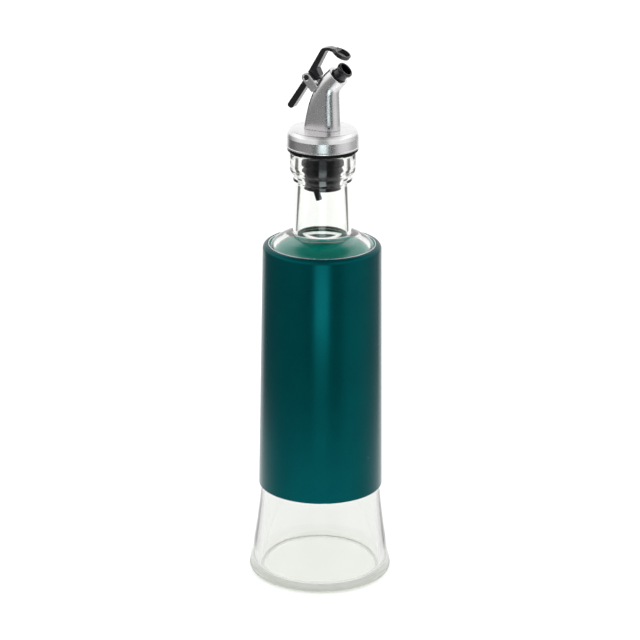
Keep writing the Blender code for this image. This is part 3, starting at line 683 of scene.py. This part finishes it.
def rounded(corners, closed=False, steps=ARC_STEPS):
    """Points through (x, z, radius) corners, each rounded by an arc of its radius."""
    points = []
    for index, (x, z, radius) in enumerate(corners):
        here = Vector((x, z))
        is_end = not closed and index in (0, len(corners) - 1)
        if is_end or radius == 0:
            points.append(here)
            continue
        to_last = (Vector(corners[index - 1][:2]) - here).normalized()
        to_next = (Vector(corners[(index + 1) % len(corners)][:2]) - here).normalized()
        half = to_last.angle(to_next) / 2
        centre = here + (to_last + to_next).normalized() * (radius / math.sin(half))
        start = here + to_last * (radius / math.tan(half)) - centre
        side = 1 if to_last.cross(to_next) < 0 else -1
        for step in range(steps + 1):
            turn = side * (math.pi - 2 * half) * step / steps
            points.append(centre + Matrix.Rotation(turn, 2) @ start)
    return points


def ellipse_arc(centre_x, centre_z, radius_x, radius_z, start, end, steps):
    angles = [start + (end - start) * step / steps for step in range(steps + 1)]
    return [
        Vector((centre_x + radius_x * math.cos(angle), centre_z + radius_z * math.sin(angle)))
        for angle in angles
    ]


def turned(outline, segments, closed=False):
    """A bmesh of revolution about +Z. The outline holds (radius, height) points."""
    mesh_data = bmesh.new()
    rings = []
    for radius, height in outline:
        if abs(radius) < 0.0001:
            rings.append([mesh_data.verts.new((0, 0, height * MM))] * segments)
            continue
        angles = [2 * math.pi * step / segments for step in range(segments)]
        rings.append([
            mesh_data.verts.new((radius * MM * math.cos(a), radius * MM * math.sin(a), height * MM))
            for a in angles
        ])
    pairs = list(zip(rings, rings[1:]))
    if closed:
        pairs.append((rings[-1], rings[0]))
    for lower, upper in pairs:
        for step in range(segments):
            after = (step + 1) % segments
            corners = [lower[step], lower[after], upper[after], upper[step]]
            faces = list(dict.fromkeys(corners))
            if len(faces) > 2:
                mesh_data.faces.new(faces)
    return mesh_data


def plate(outline, y_near, y_far, edge=0.0, edge_steps=3):
    """A flat plate: an outline in the pourer's own plane, carried from y_near to y_far."""
    mesh_data = bmesh.new()
    corners = [mesh_data.verts.new((x * MM, y_near * MM, z * MM)) for x, z in outline]
    face = mesh_data.faces.new(corners)
    carried = bmesh.ops.extrude_face_region(mesh_data, geom=[face])
    moved = [item for item in carried["geom"] if isinstance(item, bmesh.types.BMVert)]
    bmesh.ops.translate(mesh_data, verts=moved, vec=(0, (y_far - y_near) * MM, 0))
    if edge:
        rims = [
            item for item in mesh_data.edges
            if abs(item.verts[0].co.y - item.verts[1].co.y) < edge * MM
        ]
        bmesh.ops.bevel(
            mesh_data, geom=rims, offset=edge * MM, segments=edge_steps, profile=0.5,
            affect="EDGES", clamp_overlap=True,
        )
    bmesh.ops.recalc_face_normals(mesh_data, faces=mesh_data.faces)
    return mesh_data


def combine(target, tool, operation):
    modifier = target.modifiers.new(operation, "BOOLEAN")
    modifier.operation = operation
    modifier.solver = "EXACT"
    modifier.object = tool
    keep_modified(target)
    bpy.data.objects.remove(tool, do_unlink=True)


def keep_modified(target):
    bpy.context.view_layer.update()
    evaluated = target.evaluated_get(bpy.context.evaluated_depsgraph_get())
    result = bpy.data.meshes.new_from_object(evaluated)
    target.modifiers.clear()
    target.data = result


def soften(target, voxel, rounds):
    """Turns sharp joins into the small fillets of a moulding."""
    remesh = target.modifiers.new("remesh", "REMESH")
    remesh.mode = "VOXEL"
    remesh.voxel_size = voxel * MM
    smooth = target.modifiers.new("smooth", "SMOOTH")
    smooth.factor = 0.5
    smooth.iterations = rounds
    keep_modified(target)


def tilted(tilt, place):
    x, z = place
    return Matrix.Translation(Vector((x, 0, z)) * MM) @ Matrix.Rotation(tilt, 4, "Y")


def along(start, tilt, distance):
    return (start[0] + distance * math.sin(tilt), start[1] + distance * math.cos(tilt))


POURER = Matrix.Rotation(SPOUT_TURN, 4, "Z")
ACROSS_PIN = (
    Matrix.Translation(Vector((PIN[0], 0, PIN[1])) * MM)
    @ Matrix.Rotation(-math.pi / 2, 4, "X")
)


# Pieces

def flare_radius(height, heel, wall):
    """The bottle's radius at a height of its flare, from the heel up to the straight wall."""
    share = (FLARE_TOP - height) / (FLARE_TOP - HEEL_HEIGHT)
    return wall + (heel - wall) * share ** FLARE_POWER


def make_bottle(material):
    heights = [
        HEEL_HEIGHT + (FLARE_TOP - HEEL_HEIGHT) * step / FLARE_STEPS
        for step in range(1, FLARE_STEPS + 1)
    ]
    outside = rounded(UNDERSIDE)
    outside += ellipse_arc(
        BEARING_RADIUS, HEEL_HEIGHT, HEEL_RADIUS - BEARING_RADIUS, HEEL_HEIGHT,
        -math.pi / 2, 0, HEEL_STEPS,
    )[1:]
    outside += [
        Vector((flare_radius(height, HEEL_RADIUS, WALL_RADIUS_LOW), height)) for height in heights
    ]
    outside += ellipse_arc(
        SHOULDER_CENTRE, SHOULDER_START, WALL_RADIUS_HIGH - SHOULDER_CENTRE, SHOULDER_HEIGHT,
        0, SHOULDER_SWEEP, SHOULDER_STEPS,
    )
    inner_centre = SHOULDER_CENTRE - INNER_SHOULDER_SHIFT
    inner_start = SHOULDER_START - INNER_SHOULDER_DROP
    inside = ellipse_arc(
        inner_centre, inner_start, WALL_RADIUS_HIGH - WALL_THICKNESS - inner_centre,
        INNER_SHOULDER_TOP - inner_start, INNER_SHOULDER_SWEEP, 0, SHOULDER_STEPS,
    )
    inner_wall = WALL_RADIUS_LOW - WALL_THICKNESS
    inner_heel = HEEL_RADIUS - HEEL_THICKNESS
    corner_height = FLOOR_HEIGHT + FLOOR_CORNER
    inside += [
        Vector((flare_radius(height, inner_heel, inner_wall), height))
        for height in reversed(heights) if height > corner_height
    ]
    corner_radius = flare_radius(corner_height, inner_heel, inner_wall)
    inside += ellipse_arc(
        corner_radius - FLOOR_CORNER, corner_height, FLOOR_CORNER, FLOOR_CORNER,
        0, -math.pi / 2, FLOOR_STEPS,
    )
    inside += [Vector((radius, FLOOR_HEIGHT + rise)) for radius, rise in FLOOR_RISE]
    outline = outside + rounded((*FINISH, (*inside[0], 0)))[1:-1] + inside
    mesh_data = turned(outline, GLASS_SEGMENTS)
    bottle = add_piece("bottle_glass", mesh_data, material, "bottle", "glass_bottle")
    bottle.visible_shadow = False


def make_sleeve(material):
    mesh_data = turned(rounded(SLEEVE, closed=True), GLASS_SEGMENTS, closed=True)
    add_piece("painted_sleeve", mesh_data, material, "bottle", "sleeve")


# Thin silver rings at the sleeve's lip and under its foot, which show as bright lines
def make_silver_edge_rings(material):
    for name, outline in (("sleeve_lip_edge", LIP_EDGE), ("sleeve_foot_edge", FOOT_EDGE)):
        mesh_data = turned(rounded(outline, closed=True), GLASS_SEGMENTS, closed=True)
        add_piece(name, mesh_data, material, "bottle", None)


def make_plug(material):
    corners = [(0, PLUG_BOTTOM, 0), (PLUG_CORE_RADIUS - 1.0, PLUG_BOTTOM, 0)]
    for height, radius in reversed(RIBS):
        low = height - RIB_THICKNESS / 2
        high = height + RIB_THICKNESS / 2
        if low - 0.4 > PLUG_BOTTOM:
            corners.append((PLUG_CORE_RADIUS, low - 0.4, 0.2))
        corners += [(radius, max(low, PLUG_BOTTOM), 0.35), (radius, high, 0.35)]
        corners.append((PLUG_CORE_RADIUS, high + 0.3, 0.2))
    corners += [
        (PLUG_CORE_RADIUS + 0.2, FLANGE_BOTTOM, 0.8),
        (FLANGE_RADIUS, FLANGE_BOTTOM, 0.4),
        (FLANGE_RADIUS, FLANGE_TOP, 0.3),
        (0, FLANGE_TOP, 0),
    ]
    mesh_data = turned(rounded(corners, steps=4), TURNED_SEGMENTS)
    add_piece("neck_plug", mesh_data, material, "bottle", "plug")
    tube = turned(rounded(VENT_TUBE, closed=True), SMALL_SEGMENTS, closed=True)
    lean = tilted(-VENT_LEAN, (-VENT_OFFSET, PLUG_BOTTOM))
    add_piece("air_tube", tube, material, "bottle", "vent_tube", lean)


def make_collar(material):
    mesh_data = turned(rounded(COLLAR), GLASS_SEGMENTS)
    add_piece("silver_collar", mesh_data, material, "bottle", "collar")


def bezier(start, pull_start, pull_end, end, share):
    rest = 1 - share
    weights = (rest ** 3, 3 * rest * rest * share, 3 * rest * share * share, share ** 3)
    points = (start, pull_start, pull_end, end)
    return Vector(tuple(
        sum(weight * point[axis] for weight, point in zip(weights, points)) for axis in (0, 1)
    ))


def point_along(points, share):
    lengths = [(b - a).length for a, b in zip(points, points[1:])]
    left = share * sum(lengths)
    for start, end, length in zip(points, points[1:], lengths):
        if left <= length:
            return start.lerp(end, left / length)
        left -= length
    return points[-1]


def body_section(front, back, half_width, share):
    """One ring of the spout body: round in front, flat at its sides, softly squared behind."""
    span = (front - back).length
    forward = (front - back) / span
    front_round = min(half_width, span / 2)
    back_round = min(BACK_ROUND_FOOT + (half_width - BACK_ROUND_FOOT) * share, span / 2)
    power = 1 - (1 - BACK_SQUARENESS) * (1 - share ** 2)
    ring = []
    for step in range(BODY_RING_POINTS):
        angle = 2 * math.pi * (step + 0.5) / BODY_RING_POINTS
        reach, side = math.cos(angle), math.sin(angle)
        if reach >= 0:
            at = front - forward * front_round * (1 - reach)
            width = half_width * side
        else:
            at = back + forward * back_round * (1 - abs(reach) ** power)
            width = half_width * math.copysign(abs(side) ** power, side)
        ring.append((at.x * MM, width * MM, at.y * MM))
    return ring


def body_loft():
    mouth_bottom = along(MOUTH_CENTRE, MOUTH_TILT + math.pi / 2, MOUTH_RADIUS)
    mouth_top = along(MOUTH_CENTRE, MOUTH_TILT - math.pi / 2, MOUTH_RADIUS)
    front_line = rounded(((BODY_FRONT_FOOT, BODY_FOOT, 0), BODY_CORNER, (*mouth_bottom, 0)))
    mesh_data = bmesh.new()
    rings = []
    for step in range(BODY_RINGS + 1):
        share = step / BODY_RINGS
        front = point_along(front_line, share)
        back_foot = (BODY_BACK_FOOT, BODY_FOOT)
        back = bezier(back_foot, BACK_PULL_FOOT, BACK_PULL_MOUTH, mouth_top, share)
        half_width = BODY_HALF_WIDTH + (MOUTH_RADIUS - BODY_HALF_WIDTH) * share
        section = body_section(front, back, half_width, share)
        rings.append([mesh_data.verts.new(point) for point in section])
    for lower, upper in zip(rings, rings[1:]):
        for index in range(BODY_RING_POINTS):
            after = (index + 1) % BODY_RING_POINTS
            mesh_data.faces.new((lower[index], lower[after], upper[after], upper[index]))
    mesh_data.faces.new(rings[0])
    mesh_data.faces.new(rings[-1])
    bmesh.ops.recalc_face_normals(mesh_data, faces=mesh_data.faces)
    return mesh_object("spout_silver", mesh_data)


def ear_outline():
    reach = Vector((math.cos(EAR_DIRECTION), math.sin(EAR_DIRECTION))) * EAR_LENGTH
    across = Vector((-math.sin(EAR_DIRECTION), math.cos(EAR_DIRECTION))) * EAR_RADIUS
    pin = Vector(PIN)
    quarter = EAR_DIRECTION + math.pi / 2
    outline = [pin + reach - across, pin + reach + across]
    return outline + ellipse_arc(*PIN, EAR_RADIUS, EAR_RADIUS, quarter, quarter + math.pi, 40)


def placed(name, mesh_data, matrix):
    bmesh.ops.recalc_face_normals(mesh_data, faces=mesh_data.faces)
    made = mesh_object(name, mesh_data)
    made.data.transform(matrix)
    return made


def make_body(material):
    body = body_loft()
    for side in (-1, 1):
        near, away = sorted((side * EAR_OUTER, side * (EAR_OUTER - EAR_THICKNESS)))
        combine(body, mesh_object("ear", plate(ear_outline(), near, away, 0.3)), "UNION")
    hole = PIN_RADIUS + PIN_CLEARANCE
    half = EAR_OUTER - EAR_THICKNESS + 0.1
    near_side = [
        (0, -8.0), (EAR_SINK_RADIUS, -8.0), (EAR_SINK_RADIUS, -EAR_OUTER + 0.1),
        (hole, -EAR_OUTER + EAR_SINK_DEPTH), (hole, -half), (POCKET_RADIUS, -half),
    ]
    room = near_side + [(radius, -side) for radius, side in reversed(near_side)]
    combine(body, placed("room", turned(room, SMALL_SEGMENTS), ACROSS_PIN), "DIFFERENCE")
    socket = turned(TIP_SOCKET, SMALL_SEGMENTS)
    combine(body, placed("socket", socket, tilted(TIP_TILT, TIP_LIP_CENTRE)), "DIFFERENCE")
    air_centre = Vector((BODY_FRONT_FOOT - BODY_HALF_WIDTH, 0, BODY_BOTTOM + AIR_HOLE_HEIGHT))
    air_place = (
        Matrix.Translation(air_centre * MM)
        @ Matrix.Rotation(AIR_HOLE_DIRECTION, 4, "Z")
        @ Matrix.Rotation(math.pi / 2, 4, "Y")
    )
    air = turned(
        [(0, 3.0), (AIR_HOLE_RADIUS, 3.0), (AIR_HOLE_RADIUS, 8.0), (0, 8.0)], SMALL_SEGMENTS,
    )
    combine(body, placed("air", air, air_place), "DIFFERENCE")
    soften(body, BODY_VOXEL, 4)
    body.data.transform(POURER)
    dress(body, material, "bottle", "spout_body")


def make_tip(material):
    place = POURER @ tilted(TIP_TILT, TIP_LIP_CENTRE)
    mesh_data = turned(rounded(TIP), SMALL_SEGMENTS * 2)
    add_piece("tip_black", mesh_data, material, "bottle", "spout_tip", place)


def cap_place():
    """The cap's rim plane at rest: where it is closed, turned back about the pin."""
    closed = Vector(along(TIP_LIP_CENTRE, TIP_TILT, CAP_HEIGHT + CAP_CLEARANCE))
    pin = Vector(PIN)
    return pin + Matrix.Rotation(CLOSING_TURN, 2) @ (closed - pin)


def make_lever(material):
    centre = cap_place()
    cap_tilt = TIP_TILT - CLOSING_TURN
    strap_end = Vector(along(centre, cap_tilt - math.pi / 2, STRAP_END_REACH))
    strap_down = Vector(along((0, 0), cap_tilt, 0.25 - CAP_HEIGHT))
    strap_up = Vector(along((0, 0), cap_tilt, CAP_RIM - 0.12))
    strap = ((*(strap_end + strap_up), 0), (*(strap_end + strap_down), 0))
    bar = rounded((*BAR, *strap, *BAR_UNDERSIDE), closed=True)
    bar_plate = plate(bar, -LEVER_HALF_WIDTH, LEVER_HALF_WIDTH, LEVER_EDGE)
    lever = mesh_object("lever_black", bar_plate)
    hub = LEVER_HALF_WIDTH - 0.05
    pin_end = EAR_OUTER - 0.25
    trunnion = turned([
        (0, -pin_end), (0.8, -pin_end), (PIN_RADIUS, -pin_end + 0.2), (PIN_RADIUS, -hub),
        (HUB_RADIUS, -hub), (HUB_RADIUS, hub), (PIN_RADIUS, hub), (PIN_RADIUS, pin_end - 0.2),
        (0.8, pin_end), (0, pin_end),
    ], SMALL_SEGMENTS)
    combine(lever, placed("trunnion", trunnion, ACROSS_PIN), "UNION")
    edge = [bezier(WEB_START, *WEB_PULLS, WEB_END, step / 10) for step in range(11)]
    web = plate(edge + [Vector((x, -y)) for x, y in reversed(edge)], 0.15 - CAP_RIM, 1.3, 0.2)
    lay_flat = Matrix.Rotation(-math.pi / 2, 4, "X")
    combine(lever, placed("web", web, tilted(cap_tilt, centre) @ lay_flat), "UNION")
    cap = turned(rounded(CAP), SMALL_SEGMENTS * 2)
    combine(lever, placed("cap", cap, tilted(cap_tilt, centre)), "UNION")
    soften(lever, LEVER_VOXEL, 3)
    lever.data.transform(POURER)
    dress(lever, material, "lever", "lever")


def main():
    add_camera()
    add_world()
    add_floor()
    add_cards()
    silver = silver_finish()
    rubber = black_rubber()
    plastic = black_plastic()
    make_bottle(clear_glass())
    make_sleeve(teal_paint())
    make_silver_edge_rings(silver)
    make_plug(rubber)
    make_collar(silver)
    make_body(silver)
    make_tip(plastic)
    make_lever(plastic)
    bpy.context.scene.view_settings.view_transform = "Standard"


main()
